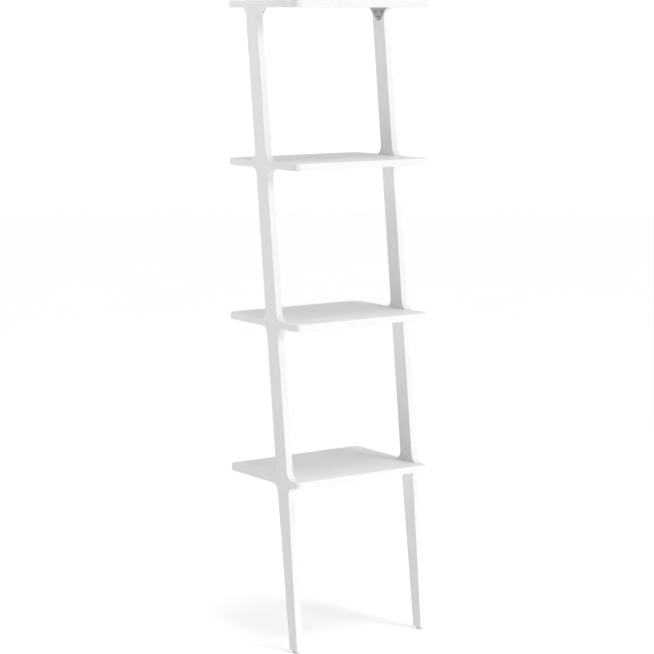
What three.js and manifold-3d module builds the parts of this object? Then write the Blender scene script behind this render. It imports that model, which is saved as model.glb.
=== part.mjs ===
// A ladder shelf that leans on a wall: four equal boards carried by two straight legs, which slope
// back from their feet. The legs are cut into segments between the boards, flared where they meet them.
// Millimetres, +X to the right, +Y to the wall, +Z up. The origin is on the floor, under the middle.
import * as THREE from "three";
import { mergeVertices } from "three/addons/utils/BufferGeometryUtils.js";
import Module from "manifold-3d";

const wasm = await Module();
wasm.setup();

// Boards
const board = { width: 400, depth: 305, thickness: 17, cornerRadius: 16, edge: 1.5 };
const firstBoardTop = 430; // floor to the top face of the bottom board
const boardPitch = 387; // from one board's top face to the next one's
const boardNames = ["bottom", "lower", "upper", "top"];

// Legs: width is measured level, front to back, and thickness along X
const leg = { thickness: 18, width: 47.5, footWidth: 32.5, edge: 1 };
const lean = THREE.MathUtils.degToRad(6.5);
const footSetback = 17.4; // board's front edge to the middle of the leg, at the floor
const flare = { radius: 22, lip: 0.4 }; // lip is the flare's blunt end where it runs out

// Dowels: a glued pair through each lower board into both legs, and one blind one under the top board
const dowel = { radius: 4, spacing: 26, legDepth: 25, chamfer: 0.8 };
const topDowel = { legDepth: 18, boardDepth: 11 };
const dowelFit = 0.1; // radial gap round a dowel
const endGap = 0.5; // gap past the end of a dowel or screw in its hole

// Angle brackets under the top board: a shaped plate on the leg and a flange let into the board
const plate = { thickness: 2, followDrop: 12.5, tipRadius: 12, tipDrop: 20.4, tipOffset: -5.5 };
const plateInset = { front: 0.5, back: 3 }; // the plate's edges, in from the leg's flares
const flange = { length: 34, width: 56, cornerRadius: 6, screwSpacing: 32, screwInset: 20 };
const plateScrewPair = { drop: 10.6, front: -20.2, back: 7 };
const tipScrewDrop = 24.4;
const inletFit = 0.25; // gap round a plate let into a board

// Glides under the feet, set in from the legs' faces, each with a well for its screw
const glide = { inset: 0.5, height: 7, edge: 1.4, wellRadius: 4.8, wellDepth: 3.8 };

// Keyhole plates let into the back edge of the top board
const hanger = { length: 40, height: 12, cornerRadius: 5.5, thickness: 1.6 };
const hangerSpacing = 260;
const hangerScrewSpacing = 30;
const keyhole = { entryRadius: 3.4, entryDrop: 1.9, slotRadius: 1.9, slotRise: 2.2 };
const pocket = { width: 14, height: 9.6, depth: 10, cornerRadius: 2 };

// Screws: pan heads on the brackets and in the glides, countersunk ones in what is let in
const plateScrew = { radius: 2, length: 14, tip: 3, headRadius: 3.7, headHeight: 2.3 };
const glideScrew = { radius: 2, length: 24, tip: 3, headRadius: 4, headHeight: 2.4 };
const flangeScrew = { radius: 1.8, length: 13, tip: 2.6, headRadius: 3.5, countersunk: true };
const hangerScrew = { radius: 1.3, length: 12, tip: 2, headRadius: 2.4, countersunk: true };
const crossRecess = { width: 0.9, arm: 0.5, depth: 0.35 }; // arm and depth as shares of a head's radius
const screwFit = 0.15; // radial gap round a screw

// Facets: sides of a round body, and steps that set how finely an outline's arcs are cut
const roundSides = 16;
const screwSides = 12;
const arcSteps = 4;
const smallArcSteps = 2;

// Levels and places worked out from the sizes above
const boardTops = boardNames.map((_, i) => firstBoardTop + i * boardPitch);
const topFace = boardTops.at(-1);
const topUnderside = topFace - board.thickness;
const backFace = board.depth / 2;
const legInnerX = board.width / 2 - leg.thickness;
const legMiddleX = board.width / 2 - leg.thickness / 2;
const legMiddleY = (z) => footSetback - board.depth / 2 + z * Math.tan(lean);
const plateTopY = legMiddleY(topUnderside); // the leg's middle where the brackets' plates end
const sides = [
  { side: "left", sign: -1 },
  { side: "right", sign: 1 },
];
const ends = [
  { end: "front", way: -1 },
  { end: "back", way: 1 },
];

const point = (x, y, z) => new THREE.Vector3(x, y, z);
const toRoom = point(0, -1, 0);
const toWall = point(0, 1, 0);
const up = point(0, 0, 1);
const down = point(0, 0, -1);
const inward = (sign) => point(-sign, 0, 0);

const finish = (color, roughness, metalness) =>
  new THREE.MeshStandardMaterial({ color, roughness, metalness });
const whiteLacquer = () => finish("#f4f4f3", 0.42, 0);
const satinSteel = () => finish("#a3a4a5", 0.38, 1);
const zincPlate = () => finish("#c3c4c6", 0.3, 1);
const plainBeech = () => finish("#d8b98c", 0.7, 0);
const paleNylon = () => finish("#d5d5d3", 0.5, 0);

// A closed geometry as a solid that can be cut and joined.
function solidOf(geometry) {
  const bare = geometry.clone();
  bare.deleteAttribute("normal");
  bare.deleteAttribute("uv");
  const merged = mergeVertices(bare, 1e-4);
  return new wasm.Manifold(
    new wasm.Mesh({
      numProp: 3,
      vertProperties: merged.attributes.position.array,
      triVerts: new Uint32Array(merged.index.array),
    }),
  );
}

function meshOf(name, solid, material) {
  const { vertProperties, triVerts } = solid.getMesh();
  const geometry = new THREE.BufferGeometry();
  geometry.setAttribute("position", new THREE.BufferAttribute(vertProperties, 3));
  geometry.setIndex(new THREE.BufferAttribute(triVerts, 1));
  const faceted = geometry.toNonIndexed();
  faceted.computeVertexNormals();
  const mesh = new THREE.Mesh(faceted, material);
  mesh.name = name;
  return mesh;
}

const joined = (solids) => solids.reduce((whole, one) => whole.add(one));

function boxSolid(low, high) {
  const size = high.clone().sub(low);
  const middle = low.clone().lerp(high, 0.5);
  return solidOf(new THREE.BoxGeometry(...size).translate(...middle));
}

// A body of revolution about Z from (radius, height) pairs, which start and end on the axis.
function latheSolid(profile, facets = roundSides) {
  const points = profile.map(([radius, height]) => new THREE.Vector2(radius, height));
  return solidOf(new THREE.LatheGeometry(points, facets).rotateX(Math.PI / 2));
}

const barSolid = (radius, low, high, facets) =>
  latheSolid([[0, low], [radius, low], [radius, high], [0, high]], facets);

// Turns a solid made along +Z to point along a direction, with its origin at a place.
function pointed(solid, place, direction) {
  const turn = new THREE.Quaternion().setFromUnitVectors(up, direction);
  const matrix = new THREE.Matrix4().compose(place, turn, new THREE.Vector3(1, 1, 1));
  return solid.transform(matrix.elements);
}

function roundedRectangle(width, height, radius) {
  const [x, y] = [width / 2 - radius, height / 2 - radius];
  const shape = new THREE.Shape();
  [[x, y], [-x, y], [-x, -y], [x, -y]].forEach(([cx, cy], quarter) => {
    shape.absarc(cx, cy, radius, (quarter * Math.PI) / 2, ((quarter + 1) * Math.PI) / 2);
  });
  shape.closePath();
  return shape;
}

// An outline as a plate that fills z = 0 to its thickness, its rims chamfered by edge.
function platedOutline(shape, thickness, { edge = 0, steps = smallArcSteps } = {}) {
  const geometry = new THREE.ExtrudeGeometry(shape, {
    depth: thickness - 2 * edge,
    bevelEnabled: edge > 0,
    bevelThickness: edge,
    bevelSize: edge,
    bevelOffset: -edge,
    bevelSegments: 1,
    curveSegments: steps,
  });
  return geometry.translate(0, 0, edge);
}

// Stands up a plate whose outline was drawn as (Y, Z), its thickness running along X from lowX.
function standUpright(geometry, lowX) {
  const axes = new THREE.Matrix4().makeBasis(toWall, up, point(1, 0, 0));
  return solidOf(geometry.applyMatrix4(axes).translate(lowX, 0, 0));
}

// A leg's straight edge, front (side -1) or back (side 1), between two levels {z, width}.
function legEdge(side, low, high) {
  const at = ({ z, width }) => new THREE.Vector2(legMiddleY(z) + (side * width) / 2, z);
  const [start, end] = [at(low), at(high)];
  const along = end.clone().sub(start).normalize();
  const outward = new THREE.Vector2(side * along.y, -side * along.x);
  return { side, start, end, along, outward };
}

// The hollow arc from a leg's edge to a board's face, above the face (into 1) or under it (into -1).
// inset moves the arc into the leg, and lip is its height over the face where it stops.
function flareArc(edge, into, inset = 0) {
  const root = into > 0 ? edge.start : edge.end;
  const run = (flare.radius * (into - edge.outward.y)) / edge.along.y;
  const centre = root.clone().addScaledVector(edge.along, run).addScaledVector(edge.outward, flare.radius);
  const radius = flare.radius + inset;
  const rise = into * (flare.lip - flare.radius);
  const reach = -edge.side * Math.sqrt(radius ** 2 - rise ** 2);
  return {
    centre,
    radius,
    lipY: centre.x + reach,
    lipAngle: Math.atan2(rise, reach),
    edgeAngle: Math.atan2(-edge.outward.y, -edge.outward.x),
  };
}

// All the arcs of a leg or a bracket are drawn clockwise about their centres, which lie outside.
const addArc = (shape, { centre, radius }, from, to) =>
  shape.absarc(centre.x, centre.y, radius, from, to, true);

// The side view of a leg segment. A flared end runs past the board's face, to be cut off level.
function legOutline(low, high) {
  const overrun = 4 * leg.edge;
  const [front, back] = [-1, 1].map((side) => legEdge(side, low, high));
  const [highFront, highBack] = [front, back].map((edge) => flareArc(edge, -1));
  const shape = new THREE.Shape();
  if (low.flared) {
    const [lowFront, lowBack] = [front, back].map((edge) => flareArc(edge, 1));
    shape.moveTo(lowFront.lipY, low.z - overrun);
    shape.lineTo(lowBack.lipY, low.z - overrun);
    addArc(shape, lowBack, lowBack.lipAngle, lowBack.edgeAngle);
  } else {
    shape.moveTo(front.start.x, front.start.y);
    shape.lineTo(back.start.x, back.start.y);
  }
  addArc(shape, highBack, highBack.edgeAngle, highBack.lipAngle);
  shape.lineTo(highBack.lipY, high.z + overrun);
  shape.lineTo(highFront.lipY, high.z + overrun);
  addArc(shape, highFront, highFront.lipAngle, highFront.edgeAngle);
  if (low.flared) {
    const lowFront = flareArc(front, 1);
    addArc(shape, lowFront, lowFront.edgeAngle, lowFront.lipAngle);
  }
  shape.closePath();
  return shape;
}

// The dowels of the joint at a board, by name: where they stand, and the heights of their ends. The
// top one stands between the bracket's upper screws.
function dowelPlaces(sign, index) {
  const boardTop = boardTops[index];
  const underside = boardTop - board.thickness;
  const at = (end, offset, low, high) => ({
    end,
    place: point(sign * legMiddleX, legMiddleY(underside) + offset, 0),
    low,
    high,
  });
  if (index === boardTops.length - 1) {
    const between = (plateScrewPair.front + plateScrewPair.back) / 2;
    return [at("", between, underside - topDowel.legDepth, underside + topDowel.boardDepth)];
  }
  const { spacing, legDepth } = dowel;
  return ends.map(({ end, way }) =>
    at(end, (way * spacing) / 2, underside - legDepth, boardTop + legDepth),
  );
}

function dowelSolid({ place, low, high }) {
  const { radius, chamfer } = dowel;
  const profile = [
    [0, low],
    [radius - chamfer, low],
    [radius, low + chamfer],
    [radius, high - chamfer],
    [radius - chamfer, high],
    [0, high],
  ];
  return latheSolid(profile).translate(...place);
}

const dowelHole = ({ place, low, high }) =>
  barSolid(dowel.radius + dowelFit, low - endGap, high + endGap).translate(...place);

// A screw along +Z. A pan head's underside is at z = 0, and so is a countersunk head's face.
function screwSolid(screw) {
  const { radius, length, tip, headRadius, headHeight, countersunk } = screw;
  const shank = [
    [0, -length],
    [radius, tip - length],
  ];
  const cone = [
    [radius, radius - headRadius],
    [headRadius, 0],
    [0, 0],
  ];
  const pan = [
    [radius, 0],
    [headRadius, 0],
    [headRadius, 0.45 * headHeight],
    [0.65 * headRadius, headHeight],
    [0, headHeight],
  ];
  const face = countersunk ? 0 : headHeight;
  const half = crossRecess.width / 2;
  const [arm, depth] = [crossRecess.arm * headRadius, crossRecess.depth * headRadius];
  const cutter = (x, y) => boxSolid(point(-x, -y, face - depth), point(x, y, face + depth));
  const cross = cutter(arm, half).add(cutter(half, arm));
  return latheSolid([...shank, ...(countersunk ? cone : pan)], screwSides).subtract(cross);
}

// The hole for a screw's shank, with a countersunk head's seat.
function screwHole({ radius, length, headRadius, countersunk }) {
  const [low, high, bore] = [-length - endGap, endGap, radius + screwFit];
  if (!countersunk) return barSolid(bore, low, high, screwSides);
  const seatRadius = headRadius + screwFit + high;
  const seat = [
    [0, low],
    [bore, low],
    [bore, high + bore - seatRadius],
    [seatRadius, high],
    [0, high],
  ];
  return latheSolid(seat, screwSides);
}

// The holes for screws of one kind at named places.
const holesFor = (screw, places, direction) =>
  joined(places.map(({ place }) => pointed(screwHole(screw), place, direction)));

// Where the screws of each kind sit, by name.
function plateScrewPlaces(sign) {
  const at = (end, offset, drop) => ({
    end,
    place: point(sign * (legInnerX - plate.thickness), plateTopY + offset, topUnderside - drop),
  });
  const { drop, front, back } = plateScrewPair;
  return [at("front", front, drop), at("back", back, drop), at("tip", plate.tipOffset, tipScrewDrop)];
}

function flangeScrewPlaces(sign) {
  const [x, y] = [sign * (legInnerX - flange.screwInset), plateTopY + plate.tipOffset];
  return ends.map(({ end, way }) => ({
    end,
    place: point(x, y + (way * flange.screwSpacing) / 2, topUnderside),
  }));
}

const glidePlace = (sign) => point(sign * legMiddleX, legMiddleY(glide.height), 0);
const glideScrewPlaces = (sign) => [{ place: glidePlace(sign).setZ(glide.wellDepth) }];
const hangerPlace = (sign) =>
  point((sign * hangerSpacing) / 2, backFace - inletFit, topFace - board.thickness / 2);
const hangerScrewPlaces = (sign) =>
  sides.map(({ sign: way }) => ({
    end: way === sign ? "outer" : "inner",
    place: hangerPlace(sign).add(point((way * hangerScrewSpacing) / 2, 0, 0)),
  }));

// A bracket's plate follows the flares under the board, then narrows to a round tip.
function plateOutline() {
  const width = leg.width;
  const [low, high] = [{ z: topUnderside - boardPitch, width }, { z: topUnderside, width }];
  const tip = new THREE.Vector2(plateTopY + plate.tipOffset, topUnderside - plate.tipDrop);
  const [front, back] = ends.map(({ end, way: side }) => {
    const arc = flareArc(legEdge(side, low, high), -1, plateInset[end]);
    const rise = flare.radius - plate.followDrop;
    const leave = new THREE.Vector2(-side * Math.sqrt(arc.radius ** 2 - rise ** 2), rise);
    const span = leave.clone().add(arc.centre).sub(tip);
    const tipAngle = span.angle() - side * Math.acos(plate.tipRadius / span.length());
    return { ...arc, leaveAngle: leave.angle(), tipAngle };
  });
  const shape = new THREE.Shape();
  shape.absarc(tip.x, tip.y, plate.tipRadius, front.tipAngle, back.tipAngle);
  addArc(shape, back, back.leaveAngle, back.lipAngle);
  shape.lineTo(back.lipY, topUnderside);
  shape.lineTo(front.lipY, topUnderside);
  addArc(shape, front, front.lipAngle, front.leaveAngle);
  shape.closePath();
  return shape;
}

// The flange, square at the leg and round-cornered at its other end. Grown by a gap on all sides, it
// is also the inlet that the board needs for it.
function flangeSolid(sign, gap = 0) {
  const { length, width, cornerRadius } = flange;
  const [near, far] = [legInnerX + gap, legInnerX - length - gap];
  const [half, radius] = [width / 2 + gap, cornerRadius + gap];
  const shape = new THREE.Shape();
  shape.moveTo(near, -half);
  shape.lineTo(near, half);
  shape.absarc(far + radius, half - radius, radius, Math.PI / 2, Math.PI);
  shape.absarc(far + radius, radius - half, radius, Math.PI, 1.5 * Math.PI);
  shape.closePath();
  const sheet = solidOf(platedOutline(shape, plate.thickness + 2 * gap));
  const placed = sheet.translate(0, plateTopY + plate.tipOffset, topUnderside - gap);
  return sign > 0 ? placed : placed.mirror([1, 0, 0]);
}

function bracketSolid(sign) {
  const lowX = sign > 0 ? legInnerX - plate.thickness : -legInnerX;
  const face = standUpright(platedOutline(plateOutline(), plate.thickness, { steps: arcSteps }), lowX);
  const width = flange.width / 2;
  const middleY = plateTopY + plate.tipOffset;
  const bend = boxSolid(
    point(lowX, middleY - width, topUnderside - plate.thickness / 2),
    point(lowX + plate.thickness, middleY + width, topUnderside + plate.thickness),
  );
  const holes = [
    holesFor(plateScrew, plateScrewPlaces(sign), inward(sign)),
    holesFor(flangeScrew, flangeScrewPlaces(sign), down),
  ];
  return joined([face, bend, flangeSolid(sign)]).subtract(joined(holes));
}

// A keyhole plate, from its seat in the board at y = 0 out to its face.
function hangerOutline() {
  const shape = roundedRectangle(hanger.length, hanger.height, hanger.cornerRadius);
  const { entryRadius, entryDrop, slotRadius, slotRise } = keyhole;
  const meet = Math.asin(slotRadius / entryRadius);
  const slot = new THREE.Path();
  slot.absarc(0, -entryDrop, entryRadius, Math.PI / 2 + meet, 2.5 * Math.PI - meet);
  slot.absarc(0, slotRise, slotRadius, 0, Math.PI);
  slot.closePath();
  shape.holes.push(slot);
  return shape;
}

// Stands an outline drawn as (X, Z) against the back edge, its thickness going into the board.
function backEdgePlate(shape, thickness, place, steps) {
  const solid = solidOf(platedOutline(shape, thickness, { steps }).rotateX(Math.PI / 2));
  return solid.translate(...place);
}

function hangerSolid(sign) {
  const sheet = backEdgePlate(hangerOutline(), hanger.thickness, hangerPlace(sign), arcSteps);
  return sheet.subtract(holesFor(hangerScrew, hangerScrewPlaces(sign), toWall));
}

// What is cut from the back edge for one keyhole plate: its inlet, the pocket and the pilot holes.
function hangerInlet(sign) {
  const { length, height, cornerRadius, thickness } = hanger;
  const out = point(0, 2 * inletFit, 0);
  const inlet = roundedRectangle(length + 2 * inletFit, height + 2 * inletFit, cornerRadius);
  const hollow = roundedRectangle(pocket.width, pocket.height, pocket.cornerRadius);
  return joined([
    backEdgePlate(inlet, thickness + 3 * inletFit, hangerPlace(sign).add(out)),
    backEdgePlate(hollow, pocket.depth, hangerPlace(sign)),
    holesFor(hangerScrew, hangerScrewPlaces(sign), toWall),
  ]);
}

function boardSolid(index) {
  const outline = roundedRectangle(board.width, board.depth, board.cornerRadius);
  const underside = boardTops[index] - board.thickness;
  const sheet = platedOutline(outline, board.thickness, { edge: board.edge, steps: arcSteps });
  const blank = solidOf(sheet.translate(0, 0, underside));
  const cuts = sides.flatMap(({ sign }) => dowelPlaces(sign, index).map(dowelHole));
  if (index === boardTops.length - 1) {
    for (const { sign } of sides) {
      cuts.push(flangeSolid(sign, inletFit));
      cuts.push(holesFor(flangeScrew, flangeScrewPlaces(sign), down));
      cuts.push(hangerInlet(sign));
    }
  }
  return blank.subtract(joined(cuts));
}

// A leg segment hangs under the board of its index. The lowest one tapers to the foot.
function legSolid(sign, index) {
  const isFoot = index === 0;
  const low = isFoot
    ? { z: glide.height, width: leg.footWidth, flared: false }
    : { z: boardTops[index - 1], width: leg.width, flared: true };
  const high = { z: boardTops[index] - board.thickness, width: leg.width };
  const lowX = sign > 0 ? legInnerX : -board.width / 2;
  const slab = platedOutline(legOutline(low, high), leg.thickness, { edge: leg.edge, steps: arcSteps });
  const blank = standUpright(slab, lowX);
  const level = boxSolid(point(-board.width, -board.depth, low.z), point(board.width, board.depth, high.z));
  const cuts = dowelPlaces(sign, index).map(dowelHole);
  if (isFoot) cuts.push(holesFor(glideScrew, glideScrewPlaces(sign), down));
  else cuts.push(...dowelPlaces(sign, index - 1).map(dowelHole));
  if (index === boardTops.length - 1) {
    cuts.push(holesFor(plateScrew, plateScrewPlaces(sign), inward(sign)));
  }
  return blank.intersect(level).subtract(joined(cuts));
}

function glideSolid(sign) {
  const { height, edge } = glide;
  const radius = leg.thickness / 2 - glide.inset;
  const body = latheSolid([[0, 0], [radius - edge, 0], [radius, edge], [radius, height], [0, height]]);
  const well = barSolid(glide.wellRadius, -endGap, glide.wellDepth);
  const placed = body.subtract(well).translate(...glidePlace(sign));
  return placed.subtract(holesFor(glideScrew, glideScrewPlaces(sign), down));
}

const ladderShelf = new THREE.Group();
const add = (name, solid, material) => ladderShelf.add(meshOf(name, solid, material));
const nameOf = (...words) => words.filter(Boolean).join("_");

function addScrews(name, screw, places, direction) {
  for (const { end, place } of places) {
    add(nameOf(name, end), pointed(screwSolid(screw), place, direction), zincPlate());
  }
}

boardNames.forEach((level, index) => {
  add(`board_${level}`, boardSolid(index), whiteLacquer());
  for (const { side, sign } of sides) {
    add(`leg_${index === 0 ? "foot" : level}_${side}`, legSolid(sign, index), whiteLacquer());
    for (const place of dowelPlaces(sign, index)) {
      add(nameOf("dowel", level, side, place.end), dowelSolid(place), plainBeech());
    }
  }
});

for (const { side, sign } of sides) {
  add(`bracket_${side}`, bracketSolid(sign), satinSteel());
  addScrews(`bracket_screw_${side}`, plateScrew, plateScrewPlaces(sign), inward(sign));
  addScrews(`flange_screw_${side}`, flangeScrew, flangeScrewPlaces(sign), down);
  add(`glide_${side}`, glideSolid(sign), paleNylon());
  addScrews(`glide_screw_${side}`, glideScrew, glideScrewPlaces(sign), down);
  add(`keyhole_plate_${side}`, hangerSolid(sign), satinSteel());
  addScrews(`keyhole_screw_${side}`, hangerScrew, hangerScrewPlaces(sign), toWall);
}

export default ladderShelf;
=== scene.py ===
import math

import bmesh
import bpy
from mathutils import Matrix, Vector


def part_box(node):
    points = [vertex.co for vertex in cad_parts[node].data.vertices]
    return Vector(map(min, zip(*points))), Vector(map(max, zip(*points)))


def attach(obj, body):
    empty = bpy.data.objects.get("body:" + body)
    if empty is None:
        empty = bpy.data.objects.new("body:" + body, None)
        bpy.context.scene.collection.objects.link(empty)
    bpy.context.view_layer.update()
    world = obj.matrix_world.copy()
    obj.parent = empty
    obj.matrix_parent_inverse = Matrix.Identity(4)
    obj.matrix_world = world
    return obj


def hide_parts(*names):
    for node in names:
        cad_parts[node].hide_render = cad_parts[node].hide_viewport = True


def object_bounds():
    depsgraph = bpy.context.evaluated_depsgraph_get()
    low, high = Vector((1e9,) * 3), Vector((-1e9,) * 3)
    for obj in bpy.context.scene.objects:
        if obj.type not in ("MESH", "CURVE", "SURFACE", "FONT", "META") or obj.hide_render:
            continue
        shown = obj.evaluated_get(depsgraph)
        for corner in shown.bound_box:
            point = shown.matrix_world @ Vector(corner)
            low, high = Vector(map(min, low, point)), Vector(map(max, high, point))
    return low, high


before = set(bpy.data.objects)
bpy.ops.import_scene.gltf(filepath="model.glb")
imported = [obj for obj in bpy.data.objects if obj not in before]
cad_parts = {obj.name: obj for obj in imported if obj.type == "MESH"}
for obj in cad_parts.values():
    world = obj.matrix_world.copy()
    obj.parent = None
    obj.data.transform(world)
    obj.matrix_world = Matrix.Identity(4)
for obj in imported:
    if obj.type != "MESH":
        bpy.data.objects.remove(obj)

cad_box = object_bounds()

MM = 0.001
LEVELS = ["bottom", "lower", "upper", "top"]
SIDES = {"left": -1, "right": 1}
SMOOTH_ANGLE = math.radians(35)  # edges sharper than this stay sharp

# Sizes of the legs, boards and flares. EDGE is the radius of a rounded rim.
LEG_WIDTH = 47.5 * MM
FOOT_WIDTH = 32.5 * MM
FOOT_SETBACK = 17.4 * MM  # boards' front edges to the middle of the leg, at the floor
LEAN = math.tan(math.radians(6.5))
FLARE_RADIUS = 22 * MM
FLARE_LIP = 0.4 * MM
FLARE_OVERRUN = 1.15  # how far the fine levels of a flare go, as a share of its radius
LEG_EDGE = 0.7 * MM
BOARD_EDGE = 1.0 * MM
BOARD_CORNER = 16 * MM
FLUSH_RIM = 0.03  # what is left of a board's rim where a leg is flush with it
RIM_FADE = 4 * MM  # the length over which the rim comes back beside the leg

# Brackets under the top board
PLATE_THICKNESS = 2 * MM
PLATE_INSET = {-1: 0.5 * MM, 1: 3 * MM}  # its front and back edge, in from the leg's flares
PLATE_FOLLOW = 12.5 * MM  # how far down the plate follows the flares
PLATE_TIP_RADIUS = 12 * MM
PLATE_TIP_DROP = 20.4 * MM  # the underside of the board to the middle of the tip's arc
PLATE_RIM = 0.15 * MM
PLATE_HOLE = 2.2 * MM
FLANGE_CORNER = 6 * MM
FLANGE_HALF_WIDTH = 28 * MM
BEND_RADIUS = 2 * MM
INLET_GAP = 0.25 * MM  # round a plate that is let into a board

# Keyhole plates in the top board's back edge
HANGER_CORNER = 5.5 * MM
KEY_ENTRY_RADIUS = 3.4 * MM
KEY_ENTRY_DROP = 1.9 * MM
KEY_SLOT_RADIUS = 1.9 * MM
KEY_SLOT_RISE = 2.2 * MM
POCKET = (14 * MM, 9.6 * MM, 10 * MM)
POCKET_CORNER = 2 * MM

# Glides under the feet
GLIDE_EDGE = 1.4 * MM
WELL_RADIUS = 4.8 * MM
WELL_DEPTH = 3.8 * MM

# Screws, in mm: shank radius, length under the head, tip, head radius and height (0 if countersunk)
PLATE_SCREW = dict(shank=2.0, length=14, tip=3.0, head=3.7, height=2.3)
GLIDE_SCREW = dict(shank=2.0, length=24, tip=3.0, head=4.0, height=2.4)
FLANGE_SCREW = dict(shank=1.8, length=13, tip=2.6, head=3.5, height=0)
HANGER_SCREW = dict(shank=1.3, length=12, tip=2.0, head=2.4, height=0)
SCREW_GAP = 0.15  # mm, between a screw and its hole

# Threads, as shares of the shank's radius and of the pitch
THREAD_ROOT = 0.74
THREAD_PITCH = 0.55
THREAD_CREST = (0.45, 0.55)

# The cross recess's sections, as shares of the head's radius: height over its face, arm, half width
RECESS_SECTIONS = ((-0.5, 0.38, 0.12), (0.0, 0.58, 0.18), (0.3, 0.68, 0.22))

# Light
FLOOR_GLOW = 0.235
WHITE_BACKDROP = 1.05
STUDIO_BACK = (0.57, 0.82, 0.0)  # the way to the bright side of the studio
DIM_SIDE = 0.22
BRIGHT_SIDE = 0.68


# ---------------------------------------------------------------- camera


def make_camera():
    """The camera stands to the left of the shelf, a little under the top board's level."""
    place = Vector((-3.1948, -4.5442, 1.5642))
    heading, dip = math.radians(35.07), math.radians(8.04)
    forward = Vector(
        (
            math.sin(heading) * math.cos(dip),
            math.cos(heading) * math.cos(dip),
            -math.sin(dip),
        )
    )
    data = bpy.data.cameras.new("camera")
    data.sensor_width = 36
    data.lens = 122.96
    data.clip_end = 200
    camera = bpy.data.objects.new("camera", data)
    camera.location = place
    camera.rotation_euler = forward.to_track_quat("-Z", "Y").to_euler()
    bpy.context.scene.collection.objects.link(camera)
    bpy.context.scene.camera = camera


make_camera()


# ---------------------------------------------------------------- places from the frame


def middle(node):
    low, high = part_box(node)
    return (Vector(low) + Vector(high)) / 2


BOARD_BOX = {level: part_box(f"board_{level}") for level in LEVELS}
TOP_UNDERSIDE = BOARD_BOX["top"][0].z
HALF_WIDTH = BOARD_BOX["top"][1].x
BACK_FACE = BOARD_BOX["top"][1].y
LEG_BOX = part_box("leg_top_right")
LEG_THICKNESS = LEG_BOX[1].x - LEG_BOX[0].x
LEG_INNER = LEG_BOX[0].x
GLIDE_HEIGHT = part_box("glide_left")[1].z


def leg_middle(z):
    """The middle of the legs, front to back, at a height."""
    return cad_box[0][1] + FOOT_SETBACK + z * LEAN


# ---------------------------------------------------------------- mesh helpers


def new_piece(name, mesh, node, material):
    """An object that stands for one CAD node, smooth except over sharp edges."""
    mesh.validate()
    piece = bpy.data.objects.new(name, mesh)
    bpy.context.scene.collection.objects.link(piece)
    mesh.materials.append(material)
    mesh.shade_smooth()
    mesh.set_sharp_from_angle(angle=SMOOTH_ANGLE)
    normals = piece.modifiers.new("even_normals", "WEIGHTED_NORMAL")
    normals.keep_sharp = True
    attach(piece, "root")
    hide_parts(node)
    return piece


def mesh_from(bm, name):
    bmesh.ops.recalc_face_normals(bm, faces=bm.faces)
    mesh = bpy.data.meshes.new(name)
    bm.to_mesh(mesh)
    bm.free()
    return mesh


def loft(rings):
    """A closed body through rings of equal length, with flat caps at both ends."""
    bm = bmesh.new()
    rows = [[bm.verts.new(point) for point in ring] for ring in rings]
    count = len(rows[0])
    for low, high in zip(rows, rows[1:]):
        for i in range(count):
            j = (i + 1) % count
            bm.faces.new((low[i], low[j], high[j], high[i]))
    bm.faces.new(list(reversed(rows[0])))
    bm.faces.new(rows[-1])
    return bm


def lathe(profile, sides=48):
    """A body of revolution about Z from (radius, height) pairs, which start and end on the axis."""
    bm = bmesh.new()
    first = bm.verts.new((0, 0, profile[0][1]))
    last = bm.verts.new((0, 0, profile[-1][1]))
    turns = [2 * math.pi * i / sides for i in range(sides)]
    rows = [
        [bm.verts.new((r * math.cos(a), r * math.sin(a), z)) for a in turns]
        for r, z in profile[1:-1]
    ]
    for i in range(sides):
        j = (i + 1) % sides
        bm.faces.new((first, rows[0][j], rows[0][i]))
        bm.faces.new((last, rows[-1][i], rows[-1][j]))
        for low, high in zip(rows, rows[1:]):
            bm.faces.new((low[i], low[j], high[j], high[i]))
    return bm


def arc(centre, radius, start, end, steps):
    """Points on an arc, angles in radians."""
    return [
        (
            centre[0] + radius * math.cos(start + (end - start) * k / steps),
            centre[1] + radius * math.sin(start + (end - start) * k / steps),
        )
        for k in range(steps + 1)
    ]


def inset_outline(outline, amount):
    """A counter-clockwise outline moved inwards along its corners' bisectors."""
    moved = []
    for i, here in enumerate(outline):
        before, after = Vector(outline[i - 1]), Vector(outline[(i + 1) % len(outline)])
        here = Vector(here)
        d0, d1 = (here - before).normalized(), (after - here).normalized()
        n0, n1 = Vector((-d0.y, d0.x)), Vector((-d1.y, d1.x))
        bisector = (n0 + n1).normalized()
        moved.append(here + bisector * amount / max(0.3, bisector.dot(n0)))
    return moved


def round_slab(outline, thickness, edge, steps=3):
    """A plate of an outline from z = 0 to its thickness, its rims rounded by edge."""
    rings = []
    quarter = [math.pi / 2 * k / steps for k in range(steps + 1)]
    for angle in quarter:
        inner = inset_outline(outline, edge * (1 - math.sin(angle)))
        rings.append([(p[0], p[1], edge * (1 - math.cos(angle))) for p in inner])
    for angle in reversed(quarter):
        inner = inset_outline(outline, edge * (1 - math.sin(angle)))
        rings.append([(p[0], p[1], thickness - edge * (1 - math.cos(angle))) for p in inner])
    return loft(rings)


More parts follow.
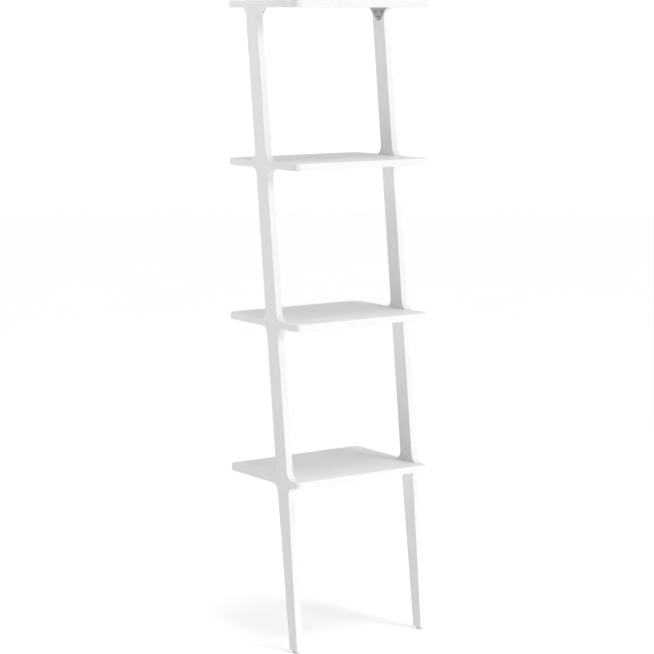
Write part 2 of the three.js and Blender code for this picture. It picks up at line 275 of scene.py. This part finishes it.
def boolean(target, cutters, operation="DIFFERENCE"):
    """Cuts or joins closed bmeshes and returns the result as one bmesh."""
    made = []
    for index, bm in enumerate([target, *cutters]):
        mesh = mesh_from(bm, f"boolean_{index}")
        made.append(bpy.data.objects.new(f"boolean_{index}", mesh))
        bpy.context.scene.collection.objects.link(made[-1])
    for cutter in made[1:]:
        modifier = made[0].modifiers.new("boolean", "BOOLEAN")
        modifier.operation = operation
        modifier.solver = "EXACT"
        modifier.object = cutter
    evaluated = made[0].evaluated_get(bpy.context.evaluated_depsgraph_get())
    result = bmesh.new()
    result.from_mesh(evaluated.to_mesh())
    evaluated.to_mesh_clear()
    for piece in made:
        mesh = piece.data
        bpy.data.objects.remove(piece)
        bpy.data.meshes.remove(mesh)
    return result


def placed(bm, matrix):
    bm.transform(matrix)
    return bm


def mirrored(bm):
    """The same body for the other side."""
    bm.transform(Matrix.Scale(-1, 4, (1, 0, 0)))
    bmesh.ops.reverse_faces(bm, faces=bm.faces)
    return bm


def round_box(half_width, half_height, radius, steps=8):
    """A rectangle with round corners, counter-clockwise."""
    a, b = half_width - radius, half_height - radius
    outline = []
    for quarter, centre in enumerate([(a, b), (-a, b), (-a, -b), (a, -b)]):
        start = quarter * math.pi / 2
        outline += arc(centre, radius, start, start + math.pi / 2, steps)
    return outline


def prism(outline, height):
    return loft([[(x, y, z) for x, y in outline] for z in (0, height)])


def facing_wall(centre, y):
    """Stands an outline drawn as (X, Z) at a depth, its height going forward from there."""
    turn = Matrix(((1, 0, 0, 0), (0, 0, -1, 0), (0, 1, 0, 0), (0, 0, 0, 1)))
    return Matrix.Translation((centre.x, y, centre.z)) @ turn


def pointing(place, direction):
    """The matrix that turns +Z to a direction and moves the origin to a place."""
    turn = Vector(direction).to_track_quat("Z", "Y").to_matrix().to_4x4()
    return Matrix.Translation(place) @ turn


# ---------------------------------------------------------------- materials


def shader(name):
    material = bpy.data.materials.new(name)
    material.use_nodes = True
    tree = material.node_tree
    return material, tree, tree.nodes["Principled BSDF"]


def add_node(tree, kind, inputs=(), **settings):
    node = tree.nodes.new(kind)
    for key, value in settings.items():
        setattr(node, key, value)
    for key, value in dict(inputs).items():
        if isinstance(value, bpy.types.NodeSocket):
            tree.links.new(value, node.inputs[key])
        else:
            node.inputs[key].default_value = value
    return node


def object_coordinates(tree, scale=(1, 1, 1)):
    coordinates = add_node(tree, "ShaderNodeTexCoord")
    mapping = add_node(tree, "ShaderNodeMapping", {"Vector": coordinates.outputs["Object"]})
    mapping.inputs["Scale"].default_value = scale
    return mapping.outputs["Vector"]


def noise(tree, vector, scale, detail=3.0, roughness=0.5):
    values = {"Vector": vector, "Scale": scale, "Detail": detail, "Roughness": roughness}
    return add_node(tree, "ShaderNodeTexNoise", values).outputs["Fac"]


def ramp(tree, value, low, high, first, last):
    """Maps a value between low and high to the colours first and last."""
    node = add_node(tree, "ShaderNodeValToRGB", {"Fac": value})
    node.color_ramp.elements[0].position = low
    node.color_ramp.elements[1].position = high
    node.color_ramp.elements[0].color = first
    node.color_ramp.elements[1].color = last
    return node.outputs["Color"]


def spread(tree, value, low, high):
    """Maps a value from 0..1 to low..high."""
    node = add_node(tree, "ShaderNodeMapRange", {"Value": value, "To Min": low, "To Max": high})
    return node.outputs["Result"]


def bump(tree, layers):
    """Stacks (height, distance) layers into one normal."""
    normal = None
    for height, distance in layers:
        values = {"Height": height, "Distance": distance, "Strength": 1.0}
        if normal is not None:
            values["Normal"] = normal
        normal = add_node(tree, "ShaderNodeBump", values).outputs["Normal"]
    return normal


def white_lacquer(name, grain_axis):
    """Satin white lacquer over wood, whose grain just shows as a faint relief along one axis."""
    material, tree, principled = shader(name)
    stretch = [1.0, 1.0, 1.0]
    stretch[grain_axis] = 0.02
    along = object_coordinates(tree, stretch)
    around = object_coordinates(tree)
    mottle = noise(tree, around, 9.0, 4.0)
    colour = ramp(tree, mottle, 0.3, 0.7, (0.790, 0.790, 0.786, 1), (0.812, 0.812, 0.810, 1))
    tree.links.new(colour, principled.inputs["Base Color"])
    gloss = noise(tree, along, 160.0, 3.0)
    tree.links.new(spread(tree, gloss, 0.38, 0.48), principled.inputs["Roughness"])
    pores = noise(tree, along, 900.0, 2.0)
    peel = noise(tree, around, 700.0, 1.0)
    normal = bump(tree, [(pores, 0.00002), (peel, 0.000012)])
    tree.links.new(normal, principled.inputs["Normal"])
    principled.inputs["IOR"].default_value = 1.48
    return material


def painted_shade_mask(tree, reach):
    """A mask for painted shade: near 1 on open faces, falling to 0 in recesses and threads narrower
    than the reach.
    """
    shelter = add_node(tree, "ShaderNodeAmbientOcclusion", {"Distance": reach}, samples=8)
    bounds = {"From Min": 0.25, "From Max": 0.75, "Value": shelter.outputs["AO"]}
    return add_node(tree, "ShaderNodeMapRange", bounds).outputs["Result"]


def brushed_metal(name, dark, light, rough, grain_axis, shade_reach=0.0):
    """Metal with fine lines along one axis, and if a reach is given, painted shade that darkens its
    base colour in recesses.
    """
    material, tree, principled = shader(name)
    stretch = [1.0, 1.0, 1.0]
    stretch[grain_axis] = 0.03
    lines = noise(tree, object_coordinates(tree, stretch), 2600.0, 3.0, 0.6)
    cloud = noise(tree, object_coordinates(tree), 60.0, 3.0)
    colour = ramp(tree, cloud, 0.3, 0.7, dark, light)
    if shade_reach:
        # Painted shade: the base colour goes to near black where the occlusion mask finds recesses.
        values = {"Fac": painted_shade_mask(tree, shade_reach), "Color1": PAINTED_SHADE_COLOUR, "Color2": colour}
        colour = add_node(tree, "ShaderNodeMixRGB", values).outputs["Color"]
    tree.links.new(colour, principled.inputs["Base Color"])
    tree.links.new(spread(tree, lines, *rough), principled.inputs["Roughness"])
    tree.links.new(bump(tree, [(lines, 0.000006)]), principled.inputs["Normal"])
    principled.inputs["Metallic"].default_value = 1.0
    return material


def moulded_nylon():
    material, tree, principled = shader("pale_nylon")
    around = object_coordinates(tree)
    cloud = noise(tree, around, 120.0, 3.0)
    colour = ramp(tree, cloud, 0.3, 0.7, (0.60, 0.60, 0.59, 1), (0.66, 0.66, 0.65, 1))
    tree.links.new(colour, principled.inputs["Base Color"])
    tree.links.new(spread(tree, cloud, 0.42, 0.58), principled.inputs["Roughness"])
    grit = noise(tree, around, 2200.0, 2.0)
    tree.links.new(bump(tree, [(grit, 0.00003)]), principled.inputs["Normal"])
    return material


def bare_beech():
    material, tree, principled = shader("beech")
    along = object_coordinates(tree, (1.0, 1.0, 0.06))
    grain = noise(tree, along, 500.0, 5.0, 0.6)
    colour = ramp(tree, grain, 0.3, 0.75, (0.46, 0.28, 0.14, 1), (0.72, 0.52, 0.31, 1))
    tree.links.new(colour, principled.inputs["Base Color"])
    tree.links.new(spread(tree, grain, 0.6, 0.8), principled.inputs["Roughness"])
    tree.links.new(bump(tree, [(grain, 0.00005)]), principled.inputs["Normal"])
    return material


# Near-black base colour, painted into the screws' recesses as shade.
PAINTED_SHADE_COLOUR = (0.035, 0.035, 0.034, 1)
BOARD_LACQUER = white_lacquer("white_lacquer_boards", 0)
LEG_LACQUER = white_lacquer("white_lacquer_legs", 2)
SATIN_STEEL = brushed_metal(
    "satin_steel", (0.40, 0.40, 0.40, 1), (0.47, 0.47, 0.47, 1), rough=(0.28, 0.44), grain_axis=2
)
# Zinc screws, with painted shade that darkens their cross recesses and threads.
ZINC = brushed_metal(
    "zinc_plate",
    (0.46, 0.46, 0.47, 1),
    (0.58, 0.58, 0.59, 1),
    rough=(0.12, 0.24),
    grain_axis=1,
    shade_reach=2.5 * MM,
)
NYLON = moulded_nylon()
BEECH = bare_beech()


# ---------------------------------------------------------------- legs


class LegEdge:
    """One long edge of a leg segment in side view, flared at its ends, as y for a height."""

    def __init__(self, side, low, high, flared_low):
        self.side = side
        (z0, w0), (z1, w1) = low, high
        start = Vector((leg_middle(z0) + side * w0 / 2, z0))
        end = Vector((leg_middle(z1) + side * w1 / 2, z1))
        along = (end - start).normalized()
        outward = Vector((side * along.y, -side * along.x))
        self.start, self.along, self.outward = start, along, outward
        self.arcs = [self.arc(end, -1)]
        if flared_low:
            self.arcs.append(self.arc(start, 1))

    def arc(self, root, into):
        """The flare's hollow arc above (into 1) or under (into -1) a board's face."""
        run = FLARE_RADIUS * (into - self.outward.y) / self.along.y
        centre = root + self.along * run + self.outward * FLARE_RADIUS
        return centre, into, root.y + into * FLARE_LIP

    def y(self, z, inset):
        """The edge's place at a height, moved into the leg by inset."""
        for centre, into, lip_z in self.arcs:
            level = max(z, lip_z) if into > 0 else min(z, lip_z)
            radius = FLARE_RADIUS + inset
            tangent = centre.y - radius * self.outward.y
            if (level - tangent) * into < 0:
                reach = math.sqrt(radius**2 - (level - centre.y) ** 2)
                return centre.x - self.side * reach
        run = (z - self.start.y) / self.along.y
        return (self.start + self.along * run).x - self.side * inset / self.along.y


def flare_levels(z, into, steps=18):
    """Heights that step finely through a flare, from the board's face into the leg."""
    lip = z + into * FLARE_LIP
    turns = [math.pi / 2 * k / steps for k in range(steps + 1)]
    drops = [FLARE_RADIUS * (1 - math.cos(turn)) * FLARE_OVERRUN for turn in turns]
    return [z, *[lip + into * drop for drop in drops]]


def leg_mesh(name, side, low, high, flared_low):
    """A leg segment lofted upwards through level rings with rounded corners."""
    front = LegEdge(-1, low, high, flared_low)
    back = LegEdge(1, low, high, flared_low)
    half, corner_steps = LEG_THICKNESS / 2, 4
    middle_x = side * (LEG_INNER + half)
    top_levels = flare_levels(high[0], -1)
    low_levels = flare_levels(low[0], 1) if flared_low else [low[0]]
    gap = top_levels[-1] - low_levels[-1]
    between = [low_levels[-1] + gap * k / 6 for k in range(1, 6)]
    levels = low_levels + between + list(reversed(top_levels))
    quarter = [math.pi / 2 * k / corner_steps for k in range(corner_steps + 1)]

    def corner(z, edge, x_sign, angles):
        points = []
        for angle in angles:
            x = middle_x + x_sign * (half - LEG_EDGE * (1 - math.cos(angle)))
            points.append((x, edge.y(z, LEG_EDGE * (1 - math.sin(angle))), z))
        return points

    def ring(z):
        backwards = list(reversed(quarter))
        return (
            corner(z, back, 1, quarter)
            + corner(z, back, -1, backwards)
            + corner(z, front, -1, quarter)
            + corner(z, front, 1, backwards)
        )

    return mesh_from(loft([ring(z) for z in levels]), name)


def build_legs():
    for level, below in zip(LEVELS, [None, *LEVELS]):
        segment = level if below else "foot"
        low = (BOARD_BOX[below][1].z, LEG_WIDTH) if below else (GLIDE_HEIGHT, FOOT_WIDTH)
        high = (BOARD_BOX[level][0].z, LEG_WIDTH)
        for side, sign in SIDES.items():
            node = f"leg_{segment}_{side}"
            mesh = leg_mesh(node, sign, low, high, bool(below))
            new_piece(f"{node}_lacquered", mesh, node, LEG_LACQUER)


# ---------------------------------------------------------------- boards


def flare_span(level_z, into, low, high):
    """Front and back ends of a leg's footprint on a board's face."""
    edges = [LegEdge(side, low, high, into > 0) for side in (-1, 1)]
    return [edge.y(level_z, 0.0) for edge in edges]


def board_outline():
    """The plan outline as (point, outward normal), with close points along the two ends."""
    a, b = HALF_WIDTH - BOARD_CORNER, BACK_FACE - BOARD_CORNER
    corner_steps, end_steps = 16, 90
    points = []
    for quarter, (cx, cy) in enumerate([(a, b), (-a, b), (-a, -b), (a, -b)]):
        start = quarter * math.pi / 2
        for x, y in arc((cx, cy), BOARD_CORNER, start, start + math.pi / 2, corner_steps):
            points.append(((x, y), Vector((x - cx, y - cy)).normalized()))
        if quarter in (1, 3):
            sign = -1 if quarter == 1 else 1
            for k in range(1, end_steps):
                y = sign * (2 * b * k / end_steps - b)
                points.append(((sign * HALF_WIDTH, y), Vector((sign, 0))))
    return points


def board_mesh(level):
    """A board with rounded rims. The rims stay square where a leg meets them flush."""
    low, high = BOARD_BOX[level]
    index = LEVELS.index(level)
    below = LEVELS[index - 1] if index else None
    under_low = (BOARD_BOX[below][1].z, LEG_WIDTH) if below else (GLIDE_HEIGHT, FOOT_WIDTH)
    under = flare_span(low.z, -1, under_low, (low.z, LEG_WIDTH))
    over = None
    if level != "top":
        above = BOARD_BOX[LEVELS[index + 1]][0].z
        over = flare_span(high.z, 1, (high.z, LEG_WIDTH), (above, LEG_WIDTH))

    def rim(point, normal, span):
        """The rim's radius at a point: next to nothing inside a leg's footprint."""
        if span is None or abs(normal.x) < 0.99:
            return BOARD_EDGE
        outside = max(span[0] - point[1], point[1] - span[1])
        share = min(1.0, max(0.0, outside / RIM_FADE))
        return BOARD_EDGE * (FLUSH_RIM + (1 - FLUSH_RIM) * share * share * (3 - 2 * share))

    steps = 4
    quarter = [math.pi / 2 * k / steps for k in range(steps + 1)]
    outline = board_outline()
    rings = []
    for face, into, span, angles in (
        (low.z, 1, under, quarter),
        (high.z, -1, over, list(reversed(quarter))),
    ):
        for angle in angles:
            ring = []
            for point, normal in outline:
                radius = rim(point, normal, span)
                flat = Vector(point) - normal * radius * (1 - math.sin(angle))
                ring.append((flat.x, flat.y, face + into * radius * (1 - math.cos(angle))))
            rings.append(ring)
    return loft(rings)


def build_boards():
    for level in LEVELS:
        node = f"board_{level}"
        bm = board_mesh(level)
        if level == "top":
            bm = boolean(bm, top_board_cutters())
        new_piece(f"{node}_lacquered", mesh_from(bm, node), node, BOARD_LACQUER)


def top_board_cutters():
    """What the top board is cut out for: the bracket flanges, the keyhole plates and their pockets."""
    cutters = []
    for side, sign in SIDES.items():
        cutters.append(flange_body(sign, INLET_GAP))
        low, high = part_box(f"keyhole_plate_{side}")
        half = (high[0] - low[0]) / 2 + INLET_GAP, (high[2] - low[2]) / 2 + INLET_GAP
        plate = prism(round_box(*half, HANGER_CORNER), high[1] - low[1] + 3 * INLET_GAP)
        centre = middle(f"keyhole_plate_{side}")
        cutters.append(placed(plate, facing_wall(centre, high[1] + 3 * INLET_GAP)))
        width, height, depth = POCKET
        pocket = prism(round_box(width / 2, height / 2, POCKET_CORNER), depth)
        cutters.append(placed(pocket, facing_wall(centre, high[1])))
    return cutters


# ---------------------------------------------------------------- brackets


def plate_outline():
    """A bracket plate in side view: along the flares under the board, then to a round tip."""
    front, back = [
        LegEdge(side, (TOP_UNDERSIDE - 1, LEG_WIDTH), (TOP_UNDERSIDE, LEG_WIDTH), True)
        for side in (-1, 1)
    ]
    tip = Vector((middle("bracket_screw_right_tip").y, TOP_UNDERSIDE - PLATE_TIP_DROP))
    rise = FLARE_RADIUS - PLATE_FOLLOW
    sides = []
    for edge in (front, back):
        centre = edge.arcs[0][0]
        radius = FLARE_RADIUS + PLATE_INSET[edge.side]
        leave = flare_point(edge.side, radius, rise)
        span = centre + leave - tip
        turn = math.acos(PLATE_TIP_RADIUS / span.length)
        tangent = math.atan2(span.y, span.x) - edge.side * turn
        lip = FLARE_RADIUS - FLARE_LIP
        ends = [math.atan2(v.y, v.x) for v in (leave, flare_point(edge.side, radius, lip))]
        sides.append((centre, radius, ends, tangent))
    front_centre, front_radius, front_ends, front_tangent = sides[0]
    back_centre, back_radius, back_ends, back_tangent = sides[1]
    front_ends = [angle % (2 * math.pi) for angle in front_ends]
    front_tangent, back_tangent = front_tangent % (2 * math.pi), back_tangent % (2 * math.pi)
    if back_tangent < front_tangent:
        back_tangent += 2 * math.pi
    outline = arc(tip, PLATE_TIP_RADIUS, front_tangent, back_tangent, 24)
    outline += arc(back_centre, back_radius, *back_ends, 20)
    outline += [(outline[-1][0], TOP_UNDERSIDE)]
    up = arc(front_centre, front_radius, *reversed(front_ends), 20)
    return [*outline, (up[0][0], TOP_UNDERSIDE), *up]


def flare_point(side, radius, rise):
    """A point on a flare's circle, from its centre, at a rise above it."""
    return Vector((-side * math.sqrt(radius**2 - rise**2), rise))


def flange_body(sign, gap=0.0):
    """A bracket's flange, or with a gap the inlet for it in the board."""
    low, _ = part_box("bracket_right")
    screws = [middle(f"flange_screw_right_{end}") for end in ("front", "back")]
    middle_y = (screws[0].y + screws[1].y) / 2
    near, far = LEG_INNER + gap, low[0] - gap
    half = FLANGE_HALF_WIDTH + gap
    corner = FLANGE_CORNER + gap
    outline = [(near, middle_y - half), (near, middle_y + half)]
    outline += arc((far + corner, middle_y + half - corner), corner, math.pi / 2, math.pi, 10)
    outline += arc((far + corner, middle_y - half + corner), corner, math.pi, 1.5 * math.pi, 10)
    bm = round_slab(outline, PLATE_THICKNESS + 2 * gap, PLATE_RIM, 2)
    bm = placed(bm, Matrix.Translation((0, 0, TOP_UNDERSIDE - gap)))
    return bm if sign > 0 else mirrored(bm)


def bend_body():
    """The round bend between a bracket's plate and its flange, as a bar along Y."""
    x, z = LEG_INNER, TOP_UNDERSIDE
    screws = [middle(f"flange_screw_right_{end}") for end in ("front", "back")]
    start = (screws[0].y + screws[1].y) / 2 - FLANGE_HALF_WIDTH
    inner = (x - PLATE_THICKNESS - BEND_RADIUS, z - BEND_RADIUS)
    outer = (x - BEND_RADIUS, z + PLATE_THICKNESS - BEND_RADIUS)
    section = arc(inner, BEND_RADIUS, math.pi / 2, 0, 8)
    section += [(x - PLATE_THICKNESS, z - 2 * BEND_RADIUS), (x, z - 2 * BEND_RADIUS)]
    section += arc(outer, BEND_RADIUS, 0, math.pi / 2, 8)
    section += [(inner[0], z + PLATE_THICKNESS)]
    rings = [
        [(a, start + way * 2 * FLANGE_HALF_WIDTH, b) for a, b in section] for way in (0, 1)
    ]
    return loft(rings)


def bracket_body():
    """The right bracket, bent from one sheet, with a hole for each screw."""
    stand = Matrix(((0, 0, 1, 0), (1, 0, 0, 0), (0, 1, 0, 0), (0, 0, 0, 1)))
    plate = round_slab(plate_outline(), PLATE_THICKNESS, PLATE_RIM, 2)
    plate = placed(plate, Matrix.Translation((LEG_INNER - PLATE_THICKNESS, 0, 0)) @ stand)
    bm = boolean(plate, [flange_body(1), bend_body()], "UNION")
    holes = []
    for end in ("front", "back", "tip"):
        deep, out = -2 * PLATE_THICKNESS, PLATE_THICKNESS / 2
        hole = lathe([(0, deep), (PLATE_HOLE, deep), (PLATE_HOLE, out), (0, out)])
        seat = middle(f"bracket_screw_right_{end}")
        holes.append(placed(hole, pointing((LEG_INNER - PLATE_THICKNESS, *seat.yz), (-1, 0, 0))))
    for end in ("front", "back"):
        seat = middle(f"flange_screw_right_{end}")
        holes.append(placed(sink_hole(FLANGE_SCREW), pointing((*seat.xy, TOP_UNDERSIDE), (0, 0, -1))))
    return boolean(bm, holes)


def sink_hole(screw):
    """The hole of a countersunk screw, whose face is at z = 0 and which goes down."""
    shank, head = [(screw[key] + SCREW_GAP) * MM for key in ("shank", "head")]
    deep, out = -screw["length"] * MM, 0.5 * MM
    return lathe([(0, deep), (shank, deep), (shank, shank - head), (head, 0), (head, out), (0, out)])


def build_brackets():
    for side, sign in SIDES.items():
        node = f"bracket_{side}"
        bm = bracket_body()
        bm = bm if sign > 0 else mirrored(bm)
        new_piece(f"{node}_steel", mesh_from(bm, node), node, SATIN_STEEL)


# ---------------------------------------------------------------- screws


def cross_recess(head, face):
    """A tapering cross to cut into a head: wide at its face, narrow at the bottom."""
    rings = []
    for section in RECESS_SECTIONS:
        height, arm, half = [share * head for share in section]
        ring = []
        for turn in range(4):
            c, s = round(math.cos(turn * math.pi / 2)), round(math.sin(turn * math.pi / 2))
            for x, y in ((arm, -half), (arm, half), (half, half)):
                ring.append((c * x - s * y, s * x + c * y, face + height))
        rings.append(ring)
    return loft(rings)


def screw_body(screw):
    """A screw along +Z with a threaded shank. A pan head sits on z = 0, a sunk one ends there."""
    shank, length, tip = (screw[key] * MM for key in ("shank", "length", "tip"))
    head, height = screw["head"] * MM, screw["height"] * MM
    root, pitch = THREAD_ROOT * shank, THREAD_PITCH * shank
    profile = [(0, -length), (0.15 * shank, -length + 0.1 * tip)]
    top = -0.6 * MM if height else shank - head
    crest_start, crest_end = [share * pitch for share in THREAD_CREST]
    z = tip - length
    while z + pitch < top:
        profile += [(root, z), (shank, z + crest_start), (shank, z + crest_end)]
        z += pitch
    profile += [(root, z)]
    if height:
        rim, side, flat = 0.15 * MM, 0.3, 0.45  # side and flat are shares of the height and radius
        profile += [(root, 0), (head - rim, 0), (head, rim), (head, side * height)]
        for x, y in arc((0, 0), 1, 0, math.pi / 2, 12)[1:-1]:
            profile.append((head * (flat + (1 - flat) * x), height * (side + (1 - side) * y)))
        profile += [(flat * head, height), (0, height)]
    else:
        rim = 0.1 * MM
        profile += [(root, shank - head), (head - rim, -rim), (head - rim, 0), (0, 0)]
    return boolean(lathe(profile, 40), [cross_recess(head, height)])


def build_screws(prefix, ends, screw, seat, direction):
    """Puts one screw at each CAD screw: seat gives its head's place, direction where it points."""
    shape = mesh_from(screw_body(screw), prefix)
    for side, sign in SIDES.items():
        for end in ends:
            node = "_".join(word for word in (prefix, side, end) if word)
            mesh = shape.copy()
            mesh.transform(pointing(seat(middle(node), sign), direction(sign)))
            new_piece(f"{node}_zinc", mesh, node, ZINC)
    bpy.data.meshes.remove(shape)


def build_all_screws():
    plate_face = LEG_INNER - PLATE_THICKNESS
    build_screws(
        "bracket_screw",
        ("front", "back", "tip"),
        PLATE_SCREW,
        lambda centre, sign: (sign * plate_face, centre.y, centre.z),
        lambda sign: (-sign, 0, 0),
    )
    build_screws(
        "flange_screw",
        ("front", "back"),
        FLANGE_SCREW,
        lambda centre, sign: (centre.x, centre.y, TOP_UNDERSIDE),
        lambda sign: (0, 0, -1),
    )
    build_screws(
        "glide_screw",
        ("",),
        GLIDE_SCREW,
        lambda centre, sign: (centre.x, centre.y, WELL_DEPTH),
        lambda sign: (0, 0, -1),
    )
    build_screws(
        "keyhole_screw",
        ("inner", "outer"),
        HANGER_SCREW,
        lambda centre, sign: (centre.x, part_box("keyhole_plate_left")[1][1], centre.z),
        lambda sign: (0, 1, 0),
    )


# ---------------------------------------------------------------- glides and keyhole plates


def build_glides():
    for side in SIDES:
        node = f"glide_{side}"
        low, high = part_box(node)
        radius, height = (high[0] - low[0]) / 2, high[2]
        rim = arc((radius - GLIDE_EDGE, GLIDE_EDGE), GLIDE_EDGE, -math.pi / 2, 0, 8)
        lip = 0.4 * MM
        mouth = arc((WELL_RADIUS + lip, lip), lip, math.pi, 1.5 * math.pi, 4)
        profile = [(0, WELL_DEPTH), (WELL_RADIUS, WELL_DEPTH), *mouth, *rim]
        top = arc((radius - lip, height - lip), lip, 0, math.pi / 2, 4)
        profile += [*top, (0, height)]
        bore = (GLIDE_SCREW["shank"] + SCREW_GAP) * MM
        hole = lathe([(0, 0), (bore, 0), (bore, 2 * height), (0, 2 * height)])
        bm = boolean(lathe(profile, 64), [hole])
        centre = middle(node)
        placed(bm, Matrix.Translation((centre.x, centre.y, 0)))
        new_piece(f"{node}_nylon", mesh_from(bm, node), node, NYLON)


def keyhole_outline():
    """A keyhole: a round entry below and a narrower round-ended slot above it."""
    meet = math.asin(KEY_SLOT_RADIUS / KEY_ENTRY_RADIUS)
    start, end = math.pi / 2 + meet, 2.5 * math.pi - meet
    outline = arc((0, -KEY_ENTRY_DROP), KEY_ENTRY_RADIUS, start, end, 28)
    return outline + arc((0, KEY_SLOT_RISE), KEY_SLOT_RADIUS, 0, math.pi, 14)


def keyhole_plate_body():
    """The left keyhole plate, with its keyhole and its screw holes."""
    low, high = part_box("keyhole_plate_left")
    centre = middle("keyhole_plate_left")
    half = (high[0] - low[0]) / 2, (high[2] - low[2]) / 2
    thickness = high[1] - low[1]
    plate = round_slab(round_box(*half, HANGER_CORNER), thickness, PLATE_RIM, 2)
    plate = placed(plate, facing_wall(centre, high[1]))
    hole = prism(keyhole_outline(), 2 * thickness)
    cutters = [placed(hole, facing_wall(centre, high[1] + thickness / 2))]
    for end in ("inner", "outer"):
        seat = middle(f"keyhole_screw_left_{end}")
        place = pointing((seat.x, high[1], seat.z), (0, 1, 0))
        cutters.append(placed(sink_hole(HANGER_SCREW), place))
    return boolean(plate, cutters)


def build_keyhole_plates():
    for side, sign in SIDES.items():
        node = f"keyhole_plate_{side}"
        bm = keyhole_plate_body()
        bm = bm if sign < 0 else mirrored(bm)
        new_piece(f"{node}_steel", mesh_from(bm, node), node, SATIN_STEEL)


def dress_dowels():
    """The dowels sit inside the joints and keep their CAD shapes."""
    for name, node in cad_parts.items():
        if name.startswith("dowel_"):
            node.data.materials.clear()
            node.data.materials.append(BEECH)


# ---------------------------------------------------------------- stage and light


def make_floor():
    bm = bmesh.new()
    sides, reach = 96, 12.0
    rim = [2 * math.pi * i / sides for i in range(sides)]
    bm.faces.new([bm.verts.new((reach * math.cos(a), reach * math.sin(a), 0)) for a in rim])
    floor = bpy.data.objects.new("floor", mesh_from(bm, "floor"))
    material, tree, principled = shader("pale_floor")
    cloud = noise(tree, object_coordinates(tree), 1.5, 2.0)
    shade = ramp(tree, cloud, 0.3, 0.7, (0.895, 0.895, 0.895, 1), (0.905, 0.905, 0.905, 1))
    tree.links.new(shade, principled.inputs["Base Color"])
    principled.inputs["Roughness"].default_value = 0.9
    principled.inputs["Specular IOR Level"].default_value = 0.0
    principled.inputs["Emission Color"].default_value = (1, 1, 1, 1)
    principled.inputs["Emission Strength"].default_value = FLOOR_GLOW
    floor.data.materials.append(material)
    bpy.context.scene.collection.objects.link(floor)


def add_sun(name, azimuth, elevation, spread_angle, strength):
    """Soft parallel light. Azimuth 0 comes from the front and 90 from the right."""
    data = bpy.data.lights.new(name, "SUN")
    data.energy = strength * math.pi
    data.angle = math.radians(spread_angle)
    light = bpy.data.objects.new(name, data)
    turn, rise = math.radians(azimuth), math.radians(elevation)
    source = Vector(
        (math.sin(turn) * math.cos(rise), -math.cos(turn) * math.cos(rise), math.sin(rise))
    )
    light.rotation_euler = source.to_track_quat("Z", "Y").to_euler()
    bpy.context.scene.collection.objects.link(light)


def add_panel(name, place, aim, size, brightness, mirrored_in_gloss=True):
    """A soft box, given how bright its face is. The camera doesn't see it, and gloss may not."""
    data = bpy.data.lights.new(name, "AREA")
    data.shape = "RECTANGLE"
    data.size, data.size_y = size
    data.energy = brightness * math.pi * size[0] * size[1]
    light = bpy.data.objects.new(name, data)
    light.location = place
    direction = Vector(aim) - Vector(place)
    light.rotation_euler = direction.to_track_quat("-Z", "Y").to_euler()
    light.visible_camera = False
    light.visible_glossy = mirrored_in_gloss
    bpy.context.scene.collection.objects.link(light)


def make_world():
    """The studio round the shelf: bright at the back, dim behind the camera, plain white to see."""
    world = bpy.data.worlds.new("studio")
    world.use_nodes = True
    tree = world.node_tree
    direction = add_node(tree, "ShaderNodeTexCoord").outputs["Generated"]
    facing = add_node(tree, "ShaderNodeVectorMath", {0: direction}, operation="DOT_PRODUCT")
    facing.inputs[1].default_value = STUDIO_BACK
    turn = {"Value": facing.outputs["Value"], "From Min": -0.6, "From Max": 0.6}
    reach = add_node(tree, "ShaderNodeMapRange", {**turn, "To Min": DIM_SIDE, "To Max": BRIGHT_SIDE})
    background = tree.nodes["Background"]
    background.inputs["Color"].default_value = (1, 1, 1, 1)
    tree.links.new(reach.outputs["Result"], background.inputs["Strength"])
    white = add_node(tree, "ShaderNodeBackground", {"Color": (1, 1, 1, 1), "Strength": WHITE_BACKDROP})
    path = add_node(tree, "ShaderNodeLightPath")
    mix = add_node(tree, "ShaderNodeMixShader", {"Fac": path.outputs["Is Camera Ray"]})
    tree.links.new(background.outputs["Background"], mix.inputs[1])
    tree.links.new(white.outputs["Background"], mix.inputs[2])
    tree.links.new(mix.outputs["Shader"], tree.nodes["World Output"].inputs["Surface"])
    bpy.context.scene.world = world


def make_light():
    make_world()
    make_floor()
    add_sun("key", azimuth=18, elevation=17, spread_angle=20, strength=0.33)
    add_sun("overhead", azimuth=12, elevation=76, spread_angle=25, strength=0.30)
    add_panel(
        "high_left", place=(-1.8, 0.0, 2.4), aim=(0, 0.1, 1.5), size=(0.8, 0.8), brightness=2.8
    )
    add_panel(
        "near_left", place=(-0.7, 0.7, 1.25), aim=(-0.2, 0.15, 1.0), size=(0.15, 1.6), brightness=2.4
    )
    add_panel(
        "front",
        place=(0.8, -4.5, 1.4),
        aim=(0, 0, 0.8),
        size=(3.0, 2.4),
        brightness=1.8,
        mirrored_in_gloss=False,
    )
    bpy.context.scene.view_settings.view_transform = "Standard"


build_legs()
build_boards()
build_brackets()
build_all_screws()
build_glides()
build_keyhole_plates()
dress_dowels()
make_light()
